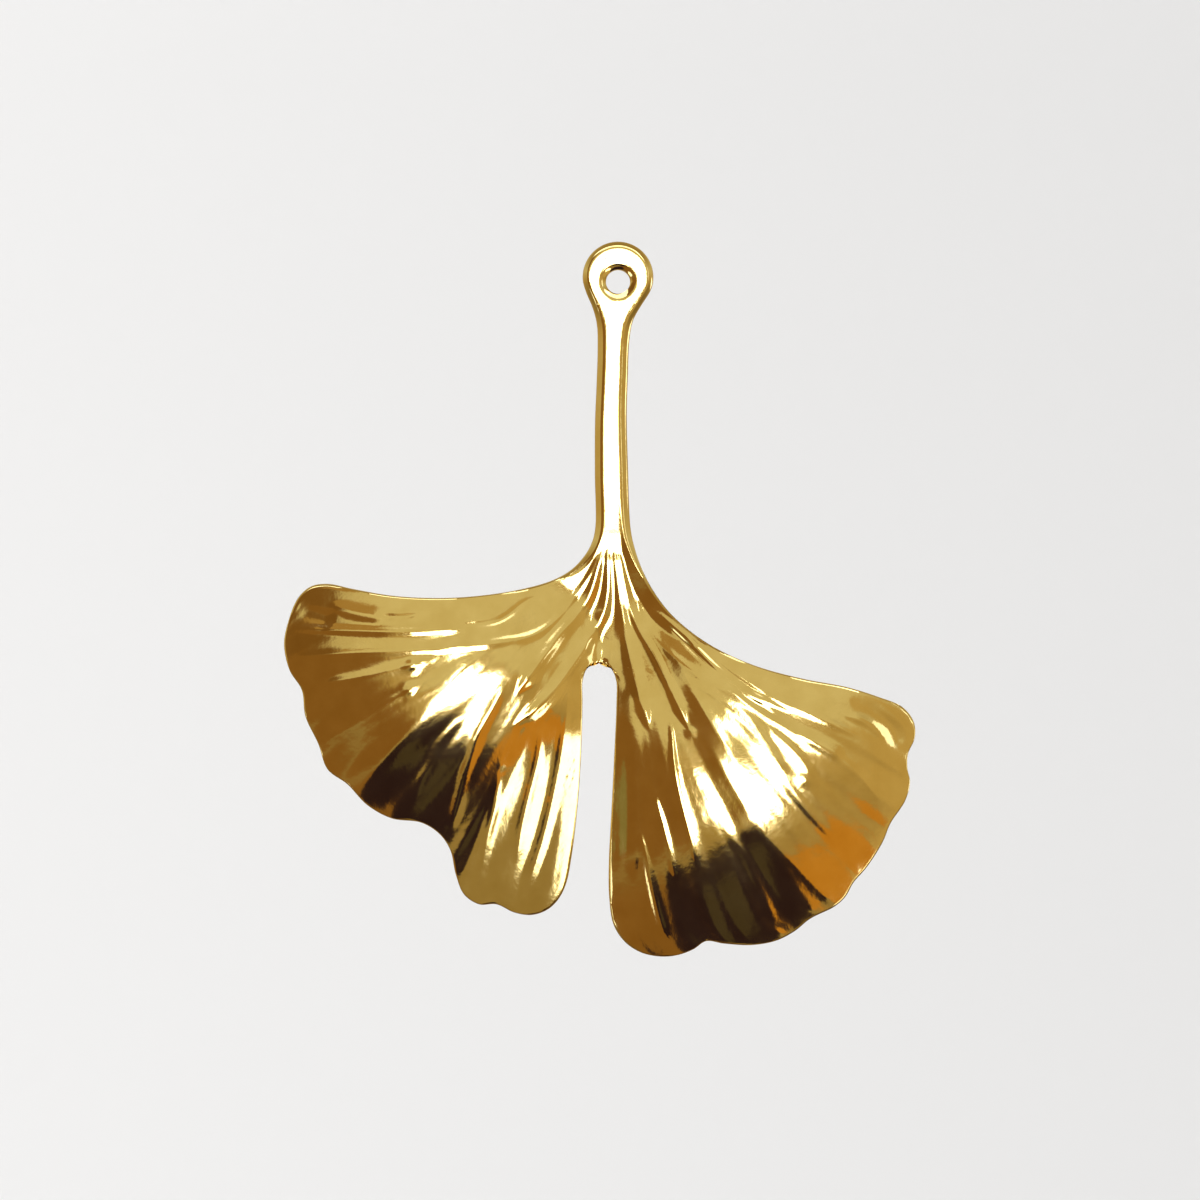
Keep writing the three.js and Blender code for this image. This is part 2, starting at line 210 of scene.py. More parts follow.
# Creases between panels: points from the palm to the rim or past it, then the slope that falls away
# from the crease and how far it reaches, on the left and on the right. A slope below zero rises
# instead. A crease fades in and out over these shares of its length.
CREASES = {
    "left_brown_to_dark": (
        [(-5.5, -17.4), (-7.4, -19.15), (-9.85, -21.8), (-13.4, -25.9), (-15.2, -28.0)],
        (0.06, 2.6), (0.06, 2.6),
    ),
    "left_dark_to_orange": (
        [(-4.6, -18.0), (-6.0, -20.8), (-7.2, -23.3), (-8.3, -27.8), (-9.2, -31.0)],
        (0.04, 1.6), (0.05, 1.6),
    ),
    "left_finger_fold": (
        [(-4.6, -20.6), (-5.9, -24.0), (-7.2, -28.0), (-8.6, -32.0), (-9.6, -35.0)],
        (0.0, 1.0), (0.14, 5.0),
    ),
    "left_shoulder": (
        [(-0.8, -12.0), (-0.95, -13.2), (-1.6, -14.3), (-2.8, -14.9), (-4.0, -14.7)],
        (0.3, 1.0), (0.0, 1.0),
    ),
    "right_margin_fold": (
        [(-0.05, -10.6), (0.0, -12.0), (0.25, -14.0), (0.85, -15.6), (1.85, -17.1), (3.3, -18.1),
        (5.0, -18.3), (7.0, -17.8)],
        (0.0, 1.0), (-0.22, 2.5),
    ),
    "right_brown_panel": (
        [(1.9, -16.8), (3.2, -19.3), (5.2, -22.9), (6.3, -24.6), (7.4, -27.0)],
        (0.11, 1.7), (0.0, 1.0),
    ),
    "right_dark_to_orange": (
        [(3.4, -20.6), (6.4, -26.25), (8.6, -28.9), (11.0, -31.3), (13.5, -34.2)],
        (0.06, 2.6), (0.06, 2.6),
    ),
}
CREASE_ROUNDING = 0.12
CREASE_ENTERS_OVER = 0.3
CREASE_LEAVES_OVER = 0.15

# Mesh density. Offsets are distances from an edge, in millimetres, and angles are in degrees.
OUTLINE_STEPS = 24
PATH_STEPS = 8
HOLE_ARC_POINTS = 181
EYELET_ROWS = 36
STEM_ROWS = 30
PALM_ROWS = 34
LOBE_ROWS = 76
NOTCH_CROWDING = 1.25
STEM_COLUMNS = 14
COLUMNS_ADDED_PER_ROW = 6
BLADE_COLUMNS = 210
BACK_COLUMN_STEP = 2
EDGE_OFFSETS = (0.01, 0.025, 0.045, 0.07, 0.12, 0.24)
COUNTERSINK_OFFSETS = (0.01, 0.06, 0.12, 0.18, 0.24, 0.3, 0.36)
EDGE_SAMPLE_SPACING = 0.02
MERGE_DECIMALS = 4
SHARP_ANGLE = 40


# ---- Curves --------------------------------------------------------------------------------------------

def spline(points, steps):
    """A dense centripetal Catmull-Rom curve, with `steps` samples from each point to the next."""
    knots = np.array(points, float)
    knots = np.vstack([2 * knots[0] - knots[1], knots, 2 * knots[-1] - knots[-2]])
    samples = []
    for a, b, c, d in zip(knots, knots[1:], knots[2:], knots[3:]):
        gaps = [max(np.linalg.norm(q - p) ** 0.5, 1e-4) for p, q in ((a, b), (b, c), (c, d))]
        slope_b = ((b - a) / gaps[0] - (c - a) / (gaps[0] + gaps[1]) + (c - b) / gaps[1]) * gaps[1]
        slope_c = ((c - b) / gaps[1] - (d - b) / (gaps[1] + gaps[2]) + (d - c) / gaps[2]) * gaps[1]
        t = np.linspace(0, 1, steps, endpoint=False)[:, None]
        samples.append(
            (2 * t**3 - 3 * t**2 + 1) * b + (t**3 - 2 * t**2 + t) * slope_b
            + (3 * t**2 - 2 * t**3) * c + (t**3 - t**2) * slope_c
        )
    return np.vstack([*samples, knots[-2]])


def along(curve, shares):
    """Points at the given shares of a dense curve's length."""
    steps = np.linalg.norm(np.diff(curve, axis=0), axis=1)
    length = np.concatenate([[0], np.cumsum(steps)])
    at = np.asarray(shares) * length[-1]
    return np.column_stack([np.interp(at, length, curve[:, 0]), np.interp(at, length, curve[:, 1])])


def curve_length(curve):
    """The length of a dense curve, in millimetres."""
    return np.linalg.norm(np.diff(curve, axis=0), axis=1).sum()


def arc_points(middle, radius, start, end, count):
    """Points on an arc, from the start angle to the end angle in degrees."""
    angles = np.radians(np.linspace(start, end, count))
    return [(middle[0] + radius * math.cos(a), middle[1] + radius * math.sin(a)) for a in angles]


def side_curves(side, other):
    """The dense curves that bound one side of the charm, as in the CAD model."""
    arc = arc_points((0, EYELET_RISE), EYELET_RADIUS, 90, side["eyelet_ends"], EYELET_ARC_POINTS)
    past_top = (-arc[1][0], arc[1][1])
    points = [past_top, *arc, *side["stem"], *side["margin"], *side["rim"], *side["notch"], NOTCH_TOP,
              other["notch"][-1]]
    outline = spline(points, OUTLINE_STEPS)
    neck = 1 + len(arc)
    margin = neck + len(side["stem"])
    rim = margin + len(side["margin"])
    fingertip = rim + len(side["rim"]) - 1
    notch_top = len(points) - 2
    middle = spline(CENTRE_LINE, OUTLINE_STEPS)
    stem_end = STEM_POINTS * OUTLINE_STEPS

    def stretch(start, end):
        return outline[start * OUTLINE_STEPS:end * OUTLINE_STEPS + 1]

    return {
        "eyelet": stretch(1, neck),
        "hole": np.array(arc_points((0, 0), HOLE_RADIUS, 90, 90 - side["turn"] * 180, HOLE_ARC_POINTS)),
        "stem": stretch(neck, margin),
        "stem_middle": middle[:stem_end + 1],
        "margin": stretch(margin, rim),
        "palm_middle": middle[stem_end:],
        "notch": stretch(fingertip, notch_top)[::-1],
        "rim": stretch(rim, fingertip),
    }


# ---- Rows of points ------------------------------------------------------------------------------------

def smooth(value, low, high):
    """A soft step: 0 up to `low`, and 1 from `high` on."""
    t = np.clip((value - low) / (high - low), 0, 1)
    return t * t * (3 - 2 * t)


def shares_across(columns, row_length, inner_edge):
    """Even shares across a row, with extra points close to the edges that are rounded off."""
    near = np.array(EDGE_OFFSETS) / row_length
    start = near[-1]
    end = 1 - near[-1] if inner_edge else 1
    even = np.linspace(start, end, columns)
    shares = [[0], near[:-1], even]
    if inner_edge:
        shares += [1 - near[:-1][::-1], [1]]
    return np.concatenate(shares)


def make_row(outer, inner, columns, inner_edge, bend=None, rim=False):
    """A row of points from the outline to the middle of the leaf or to an inner edge. `bend` moves them off
    the straight line."""
    shares = shares_across(columns, np.linalg.norm(inner - outer), inner_edge)
    places = outer + (inner - outer) * shares[:, None]
    if bend is not None:
        places = places + bend(shares)
    on_edge = np.zeros(len(shares), bool)
    on_edge[0] = True
    on_edge[-1] = inner_edge
    if rim:
        on_edge[:] = True
    width = np.full(len(shares), np.linalg.norm(inner - outer))
    return {"places": places, "shares": shares, "on_edge": on_edge, "width": width}


def eyelet_rows(curves, columns):
    """Rows from the eyelet's outline to the hole, from the top round to the stem."""
    rows = []
    for t in np.arange(EYELET_ROWS) / EYELET_ROWS:
        outer, inner = along(curves["eyelet"], [t])[0], along(curves["hole"], [t])[0]
        rows.append(make_row(outer, inner, columns, True))
    return rows


def stem_rows(curves, columns):
    """Rows from the stem's outline to its middle. They crowd together in the countersink."""
    rows = []
    near_hole = np.concatenate([[0], COUNTERSINK_OFFSETS]) / curve_length(curves["stem_middle"])
    below_hole = np.linspace(near_hole[-1], 1, STEM_ROWS, endpoint=False)
    for t in np.concatenate([near_hole[:-1], below_hole]):
        outer, inner = along(curves["stem"], [t])[0], along(curves["stem_middle"], [t])[0]
        rows.append(make_row(outer, inner, columns, t == 0))
    return rows


def blade_places(curves):
    """Where the blade's rows start, as shares of the margin. They crowd together at the notch and rim."""
    length = curve_length(curves["margin"])
    near_notch = 1 - np.array(EDGE_OFFSETS[::-1]) / curve_length(curves["palm_middle"])
    palm = PALM_SHARE * np.concatenate([near_notch[0] * np.arange(PALM_ROWS) / PALM_ROWS, near_notch])
    last = 1 - EDGE_OFFSETS[-1] / length
    lobe = PALM_SHARE + (last - PALM_SHARE) * np.linspace(0, 1, LOBE_ROWS) ** NOTCH_CROWDING
    near_rim = 1 - np.array(EDGE_OFFSETS[:-1][::-1]) / length
    return np.concatenate([palm, lobe, near_rim, [1]])


def blade_rows(curves, column_step):
    """Rows from the margin to the palm's middle, and below it to the notch. They bend more and more like
    the rim, which is the last row."""
    rows = []
    places = blade_places(curves)
    tip, fingertip = curves["rim"][0], curves["rim"][-1]
    for i, t in enumerate(places):
        in_palm = t < PALM_SHARE
        outer = along(curves["margin"], [t])[0]
        if in_palm:
            inner = along(curves["palm_middle"], [t / PALM_SHARE])[0]
        else:
            inner = along(curves["notch"], [(t - PALM_SHARE) / (1 - PALM_SHARE)])[0]

        def bend(shares, t=t):
            chord = tip + (fingertip - tip) * shares[:, None]
            return (along(curves["rim"], shares) - chord) * t**RIM_BEND_POWER

        on_rim = i == len(places) - 1
        step = 1 if on_rim else column_step
        columns = min(BLADE_COLUMNS // step, STEM_COLUMNS // step + i * COLUMNS_ADDED_PER_ROW // step)
        rows.append(make_row(outer, inner, columns, not in_palm, bend, rim=on_rim))
    return rows


def side_rows(curves, column_step):
    """Every row of one side, from the eyelet's top to the rim. A column step above 1 leaves columns out."""
    columns = STEM_COLUMNS // column_step
    return eyelet_rows(curves, columns) + stem_rows(curves, columns) + blade_rows(curves, column_step)


# ---- Relief --------------------------------------------------------------------------------------------

def path_distance(places, path):
    """Distance from each place to a dense path, and the share of the path's length at the nearest point.
    The distance is below zero on one side of the path: the left, for a path that runs down."""
    best = np.full(len(places), np.inf)
    share = np.zeros(len(places))
    side = np.ones(len(places))
    steps = np.linalg.norm(np.diff(path, axis=0), axis=1)
    length = np.concatenate([[0], np.cumsum(steps)])
    for i in range(len(path) - 1):
        a, b = path[i], path[i + 1]
        t = np.clip(((places - a) @ (b - a)) / max(((b - a) @ (b - a)), 1e-12), 0, 1)
        across = places - a - t[:, None] * (b - a)
        gap = np.hypot(across[:, 0], across[:, 1])
        nearer = gap < best
        on_right = (b - a)[0] * across[:, 1] > (b - a)[1] * across[:, 0]
        side = np.where(nearer, np.where(on_right, 1, -1), side)
        best = np.where(nearer, gap, best)
        share = np.where(nearer, (length[i] + t * steps[i]) / length[-1], share)
    return best * side, share


def crease_fall(gap, slope, reach):
    """How far the sheet falls away on one side of a crease."""
    return slope * (np.hypot(gap, CREASE_ROUNDING) - CREASE_ROUNDING) * np.exp(-((gap / reach) ** 2))


def dome_height(dome, x, z):
    """A dome that is round across the lobe, and whose slope levels off towards its two ends."""
    across = (x - dome["x"]) / dome["half_width"]
    along_leaf = (z - dome["z"]) / dome["half_length"]
    fall = 2 * (np.sqrt(1 + dome["flat_ends"] * along_leaf**2) - 1) / dome["flat_ends"]
    return dome["height"] * (1 - across**2 - fall)


def pleat_height(pleats, height, share, width):
    """Pleats that run from the palm to the rim, and grow with the square of the leaf's width."""
    return 0.5 * height * (1 - np.cos(2 * np.pi * pleats * share)) * (width / PLEATS_MEASURED_AT) ** 2


def crease_height(places):
    """How far the creases lower or raise the sheet."""
    folds = np.zeros(len(places))
    for points, to_left, to_right in CREASES.values():
        gap, at = path_distance(places, spline(points, PATH_STEPS))
        fall = np.where(gap < 0, crease_fall(gap, *to_left), crease_fall(gap, *to_right))
        folds -= fall * smooth(at, 0, CREASE_ENTERS_OVER) * smooth(1 - at, 0, CREASE_LEAVES_OVER)
    return folds


def sheet_height(x, z, share, spread, width):
    """How far the middle of the sheet stands out towards the front."""
    depth = smooth(-z, -BLADE_STARTS_AT, -NOTCH_TOP[1])
    reach = BLEND_REACH_AT_START + (BLEND_REACH_AT_NOTCH - BLEND_REACH_AT_START) * depth
    to_right = smooth(x, NOTCH_TOP[0] - reach, NOTCH_TOP[0] + reach)
    left, right = dome_height(DOMES["left"], x, z), dome_height(DOMES["right"], x, z)
    dome = left + (right - left) * to_right
    from_palm = np.hypot(x - PALM_MIDDLE[0], z - PALM_MIDDLE[1])
    lifted = 0.5 * (dome + np.hypot(dome, PALM_LIFT))
    dome = lifted + (dome - lifted) * smooth(from_palm, *LIFT_FADES)
    rising = smooth(from_palm, DOME_STARTS, DOME_FULL) * (z < PALM_MIDDLE[1] + DOME_STARTS)
    pleats = pleat_height(PLEATS, PLEAT_HEIGHT, share, width) * spread
    return dome * rising + pleats + crease_height(np.column_stack([x, z]))


def vein_height(x, z, share, spread, width):
    """The veins and beads, and the fine pleats between them."""
    places = np.column_stack([x, z])
    height = pleat_height(FINE_PLEATS, FINE_PLEAT_HEIGHT, share, width) * spread
    for points, half_width, rise in VEINS.values():
        path = spline(points, PATH_STEPS)
        low = path.min(axis=0) - VEIN_REACH * half_width
        high = path.max(axis=0) + VEIN_REACH * half_width
        close = np.all((places > low) & (places < high), axis=1)
        gap, at = path_distance(places[close], path)
        size = VEIN_SIZE_AT_START + (1 - VEIN_SIZE_AT_START) * smooth(at, 0, VEIN_FULL_OVER)
        size *= smooth(at, 0, VEIN_ENTERS_OVER) * smooth(1 - at, 0, VEIN_LEAVES_OVER)
        width_here = half_width * (VEIN_NARROWEST + (1 - VEIN_NARROWEST) * size)
        height[close] += rise * size * np.exp(-((gap / width_here) ** 2))
    for middle, radius, rise in BEADS:
        height += rise * np.exp(-(np.hypot(x - middle[0], z - middle[1]) / radius) ** 2)
    return height


def half_thickness(x, z, edge_gap):
    """Half of the metal's thickness. It is flat, with well rounded edges on the eyelet and the stem, fine
    ones on the blade, and a countersink round the hole. At an edge it is 0, and front and back meet."""
    thinning = smooth(-z, -BLADE_STARTS_AT, -BLADE_FULL_AT)
    flat = 0.5 * (EYELET_THICKNESS + (BLADE_THICKNESS - EYELET_THICKNESS) * thinning)
    above_blade = 1 - smooth(-z, *STEM_EDGE_FADES)
    on_stem = smooth(-z, *EYELET_EDGE_FADES) * above_blade
    edge_radius = EDGE_RADIUS + (EYELET_EDGE_RADIUS - EDGE_RADIUS) * above_blade
    edge_radius = edge_radius + (STEM_EDGE_RADIUS - EYELET_EDGE_RADIUS) * on_stem
    inside = np.clip(edge_gap / edge_radius, 0, 1)
    rounded = np.sqrt(np.clip(1 - (1 - inside) ** 2, 0, 1))
    from_hole = np.hypot(x, z) - HOLE_RADIUS
    in_sink = np.clip(1 - from_hole / (COUNTERSINK_RADIUS - HOLE_RADIUS), 0, 1)
    sunk = flat - COUNTERSINK_DEPTH * in_sink**COUNTERSINK_CURVE
    return np.where(in_sink > 0, sunk * (edge_gap > 0), flat * rounded)


# ---- Mesh ----------------------------------------------------------------------------------------------

def edge_tree(all_curves):
    """A search tree of points along every edge, which gives a place's distance from the nearest edge."""
    dense = []
    for curves in all_curves:
        for name in ("eyelet", "hole", "stem", "margin", "rim", "notch"):
            curve = curves[name]
            count = int(curve_length(curve) / EDGE_SAMPLE_SPACING)
            dense.append(along(curve, np.linspace(0, 1, count)))
    points = np.vstack(dense)
    tree = kdtree.KDTree(len(points))
    for i, (x, z) in enumerate(points):
        tree.insert((x, 0, z), i)
    tree.balance()
    return tree


def strip_triangles(upper, lower):
    """Triangles between two rows that may differ in their number of points. A row is (shares, indices)."""
    (upper_shares, upper_ids), (lower_shares, lower_ids) = upper, lower
    faces = []
    i = j = 0
    while i < len(upper_ids) - 1 or j < len(lower_ids) - 1:
        next_upper = upper_shares[i + 1] if i < len(upper_ids) - 1 else np.inf
        next_lower = lower_shares[j + 1] if j < len(lower_ids) - 1 else np.inf
        if next_lower <= next_upper:
            faces.append((upper_ids[i], lower_ids[j], lower_ids[j + 1]))
            j += 1
        else:
            faces.append((upper_ids[i], lower_ids[j], upper_ids[i + 1]))
            i += 1
    return faces


def sheet(rows, facing, turn, tree, offset):
    """Vertices and triangles of the front (facing -1) or back (facing 1) of one side."""
    places = np.vstack([row["places"] for row in rows])
    shares = np.concatenate([row["shares"] for row in rows])
    on_edge = np.concatenate([row["on_edge"] for row in rows])
    width = np.concatenate([row["width"] for row in rows])
    x, z = places[:, 0], places[:, 1]
    gap = np.array([tree.find((px, 0, pz))[2] for px, pz in places])
    gap[on_edge] = 0
    spread = smooth(-z, -BLADE_STARTS_AT, -PLEATS_FULL_AT)
    thickness = half_thickness(x, z, gap)
    veins = vein_height(x, z, shares, spread, width) * smooth(gap, 0, VEIN_EDGE_GAP)
    if facing > 0:
        veins *= -BACK_VEIN_SHARE
    y = -sheet_height(x, z, shares, spread, width) + facing * (thickness + veins)
    vertices = np.column_stack([x, y, z])
    numbered = []
    start = offset
    for row in rows:
        numbered.append((row["shares"], list(range(start, start + len(row["shares"])))))
        start += len(row["shares"])
    faces = []
    flip = facing * turn < 0
    for upper, lower in zip(numbered, numbered[1:]):
        for a, b, c in strip_triangles(upper, lower):
            faces.append((a, c, b) if flip else (a, b, c))
    return vertices, faces


def charm_mesh():
    """The whole charm as one closed mesh, in metres."""
    curves = [side_curves(SIDES["left"], SIDES["right"]), side_curves(SIDES["right"], SIDES["left"])]
    tree = edge_tree(curves)
    vertices, faces = [], []
    count = 0
    for side_name, side_set in zip(("left", "right"), curves):
        turn = SIDES[side_name]["turn"]
        for facing, step in ((-1, 1), (1, BACK_COLUMN_STEP)):
            rows = side_rows(side_set, step)
            new_vertices, new_faces = sheet(rows, facing, turn, tree, count)
            vertices.append(new_vertices)
            faces += new_faces
            count += len(new_vertices)
    places = np.vstack(vertices)
    rounded = np.round(places, MERGE_DECIMALS)
    _, first, merged = np.unique(rounded, axis=0, return_index=True, return_inverse=True)
    triangles = merged.reshape(-1)[np.array(faces)]
    whole = np.all(triangles != np.roll(triangles, 1, axis=1), axis=1)
    mesh = bpy.data.meshes.new("ginkgo_leaf")
    mesh.from_pydata((places[first] * MM).tolist(), [], triangles[whole].tolist())
    mesh.validate()
    mesh.update()
    mesh.set_sharp_from_angle(angle=math.radians(SHARP_ANGLE))
    return mesh


# ---- Material ------------------------------------------------------------------------------------------

# Gold plate. A fine mottle changes its tint and roughness, and a finer grain makes its bumps. Scales
# are in cells per metre.
DARK_GOLD = (0.92, 0.73, 0.29)
LIGHT_GOLD = (1.0, 0.82, 0.36)
TINT_RAMP = (0.3, 0.7)
GOLD_ROUGHNESS = (0.05, 0.12)
MOTTLE_SCALE = 900
MOTTLE_DETAIL = 3
GRAIN_SCALE = 2500
GRAIN_DETAIL = 4
GRAIN_STRENGTH = 0.15
GRAIN_DEPTH = 0.03 * MM


def noise(nodes, links, coordinates, scale, detail):
    """Noise that is fixed to the object."""
    texture = nodes.new("ShaderNodeTexNoise")
    texture.inputs["Scale"].default_value = scale
    texture.inputs["Detail"].default_value = detail
    links.new(coordinates.outputs["Object"], texture.inputs["Vector"])
    return texture


def gold_plate():
    """Polished gold plate over brass."""
    material = bpy.data.materials.new("gold_plate")
    material.use_nodes = True
    nodes, links = material.node_tree.nodes, material.node_tree.links
    shader = nodes["Principled BSDF"]
    shader.inputs["Metallic"].default_value = 1.0
    coordinates = nodes.new("ShaderNodeTexCoord")
    mottle = noise(nodes, links, coordinates, MOTTLE_SCALE, MOTTLE_DETAIL)
    tint = nodes.new("ShaderNodeValToRGB")
    for stop, position, colour in zip(tint.color_ramp.elements, TINT_RAMP, (DARK_GOLD, LIGHT_GOLD)):
        stop.position = position
        stop.color = (*colour, 1)
    links.new(mottle.outputs["Fac"], tint.inputs["Fac"])
    links.new(tint.outputs["Color"], shader.inputs["Base Color"])
    gloss = nodes.new("ShaderNodeMapRange")
    gloss.inputs["To Min"].default_value = GOLD_ROUGHNESS[0]
    gloss.inputs["To Max"].default_value = GOLD_ROUGHNESS[1]
    links.new(mottle.outputs["Fac"], gloss.inputs["Value"])
    links.new(gloss.outputs["Result"], shader.inputs["Roughness"])
    grain = noise(nodes, links, coordinates, GRAIN_SCALE, GRAIN_DETAIL)
    bump = nodes.new("ShaderNodeBump")
    bump.inputs["Strength"].default_value = GRAIN_STRENGTH
    bump.inputs["Distance"].default_value = GRAIN_DEPTH
    links.new(grain.outputs["Fac"], bump.inputs["Height"])
    links.new(bump.outputs["Normal"], shader.inputs["Normal"])
    return material


# ---- Studio --------------------------------------------------------------------------------------------

# Camera: a long lens that looks straight at the leaf. FIELD is the width it sees at the leaf.
LEAF_MIDDLE = Vector((-0.9, 0.0, -15.9)) * MM
FIELD = 60 * MM
LENS = 200
SENSOR = 36
CAMERA_CLIP = (0.005, 10)

# Paper stage and its light, in metres and watts.
STAGE_HALF_WIDTH = 2.0
STAGE_FRONT = -2.2
STAGE_BACK = 0.9
STAGE_FLOOR = -0.32
STAGE_HEIGHT = 1.5
STAGE_CURVE_RADIUS = 0.4
STAGE_CURVE_STEPS = 12
PAPER_COLOUR = (0.86, 0.855, 0.85)
PAPER_ROUGHNESS = 0.9
PAPER_SPECULAR = 0.1
SKY_STRENGTH = 0.67
LAMP_PLACE = (-0.6, 0.3, 0.65)
LAMP_AIMS_AT = (-0.15, 0.9, 0.1)
LAMP_SIZE = 0.5
LAMP_POWER = 5

# Colours of what the metal reflects.
WHITE = (1.0, 1.0, 1.0)
BROWN = (1.0, 0.48, 0.12)
ORANGE = (1.0, 0.44, 0.06)
OLIVE = (1.0, 0.85, 0.35)
PALE = (1.0, 0.86, 0.54)
NEAR_BLACK = (1.0, 0.5, 0.75)
GREY_BROWN = (1.0, 0.74, 0.5)
TAN = (1.0, 0.71, 0.3)
TAWNY = (1.0, 0.6, 0.2)

# Cards that only the polished metal sees, from the nearest to the farthest. Each has its direction from
# the leaf in degrees (right, up), its size in degrees (wide, high), its roll in degrees, its colour,
# its strength and how much of it is a soft edge. Beyond 90 degrees they stand behind it, for its back.
CARDS = {
    "front_softbox": ((3, -4.7), (18, 9.5), 8, WHITE, 6.0, 0.06),
    "stem_softbox": ((0.35, 4.5), (3.2, 8), 0, WHITE, 6.0, 0.1),
    "far_right_softbox": ((43, 11), (9, 18), 0, WHITE, 1.5, 0.3),
    "low_left_softbox": ((-48, -19), (15, 20), 0, WHITE, 1.8, 0.3),
    "olive_band": ((-38.5, -8.5), (6, 11), 0, OLIVE, 0.22, 0.3),
    "low_far_softbox": ((33, -27), (11, 20), 0, WHITE, 3.0, 0.25),
    "grey_card": ((-1, -24), (7, 14), 10, GREY_BROWN, 0.053, 0.3),
    "low_flag": ((-1, -24), (29, 23), 14, NEAR_BLACK, 0.022, 0.08),
    "floor_flag": ((14, -53), (60, 20), 0, NEAR_BLACK, 0.024, 0.1),
    "orange_card": ((20, -17), (17, 14), 20, ORANGE, 0.5, 0.2),
    "left_card": ((-32, -3), (46, 26), 0, BROWN, 0.22, 0.15),
    "palm_card": ((-21, 26), (17, 14), 0, TAWNY, 0.36, 0.2),
    "high_left_card": ((-42, 24), (38, 38), 0, BROWN, 0.18, 0.2),
    "low_left_card": ((-30, -30), (40, 30), 0, BROWN, 0.22, 0.3),
    "low_card": ((16, -34), (44, 26), 0, TAN, 0.3, 0.35),
    "low_right_card": ((42, -24), (36, 40), 0, TAN, 0.5, 0.35),
    "high_right_softbox": ((38, 36), (16, 24), 0, WHITE, 3.0, 0.35),
    "right_card": ((37, 4), (28, 28), 0, TAN, 0.48, 0.4),
    "middle_card": ((4, 20), (50, 36), 0, PALE, 0.6, 0.3),
    "back_softbox": ((128, -4), (34, 14), -12, WHITE, 2.0, 0.3),
    "back_flag": ((140, -38), (50, 26), 0, BROWN, 0.06, 0.4),
    "overhead_softbox": ((-10, 50), (80, 32), 0, WHITE, 2.0, 0.2),
}
NEAREST_CARD = 0.22
CARD_SPACING = 0.012
CARD_CORNER_POWER = 4

# The room beyond the cards, from straight down to straight up: height share, colour and strength.
ROOM_RADIUS = 0.95
ROOM_GLOW = [
    (0.0, BROWN, 0.12), (0.35, TAN, 0.25), (0.5, TAN, 0.45), (0.62, PALE, 0.55), (0.8, TAN, 0.35),
    (1.0, TAN, 0.3),
]


def camera():
    """The camera, in front of the leaf and level with it."""
    data = bpy.data.cameras.new("camera")
    data.lens = LENS
    data.sensor_width = SENSOR
    data.clip_start, data.clip_end = CAMERA_CLIP
    holder = bpy.data.objects.new("camera", data)
    holder.location = LEAF_MIDDLE + Vector((0, -FIELD * LENS / SENSOR, 0))
    holder.rotation_euler = (math.pi / 2, 0, 0)
    bpy.context.collection.objects.link(holder)
    bpy.context.scene.camera = holder


def backdrop_paper():
    """Matt off-white paper."""
    material = bpy.data.materials.new("backdrop_paper")
    material.use_nodes = True
    shader = material.node_tree.nodes["Principled BSDF"]
    shader.inputs["Base Color"].default_value = (*PAPER_COLOUR, 1)
    shader.inputs["Roughness"].default_value = PAPER_ROUGHNESS
    shader.inputs["Specular IOR Level"].default_value = PAPER_SPECULAR
    return material


def pale_stage():
    """A pale floor that curves up into a plain backdrop."""
    curve_y = STAGE_BACK - STAGE_CURVE_RADIUS
    curve_z = STAGE_FLOOR + STAGE_CURVE_RADIUS
    profile = [(STAGE_FRONT, STAGE_FLOOR)]
    for angle in np.radians(np.linspace(0, 90, STAGE_CURVE_STEPS + 1)):
        y = curve_y + STAGE_CURVE_RADIUS * math.sin(angle)
        z = curve_z - STAGE_CURVE_RADIUS * math.cos(angle)
        profile.append((y, z))
    profile.append((STAGE_BACK, STAGE_FLOOR + STAGE_HEIGHT))
    vertices = [(x, y, z) for y, z in profile for x in (-STAGE_HALF_WIDTH, STAGE_HALF_WIDTH)]
    faces = [(2 * i, 2 * i + 1, 2 * i + 3, 2 * i + 2) for i in range(len(profile) - 1)]
    mesh = bpy.data.meshes.new("backdrop")
    mesh.from_pydata(vertices, [], faces)
    mesh.shade_smooth()
    mesh.materials.append(backdrop_paper())
    backdrop = bpy.data.objects.new("backdrop", mesh)
    backdrop.visible_glossy = False
    bpy.context.collection.objects.link(backdrop)


def seen_only_in_metal(holder):
    """Hides an object from the camera and from matt surfaces, and stops its shadow."""
    holder.visible_camera = False
    holder.visible_diffuse = False
    holder.visible_shadow = False


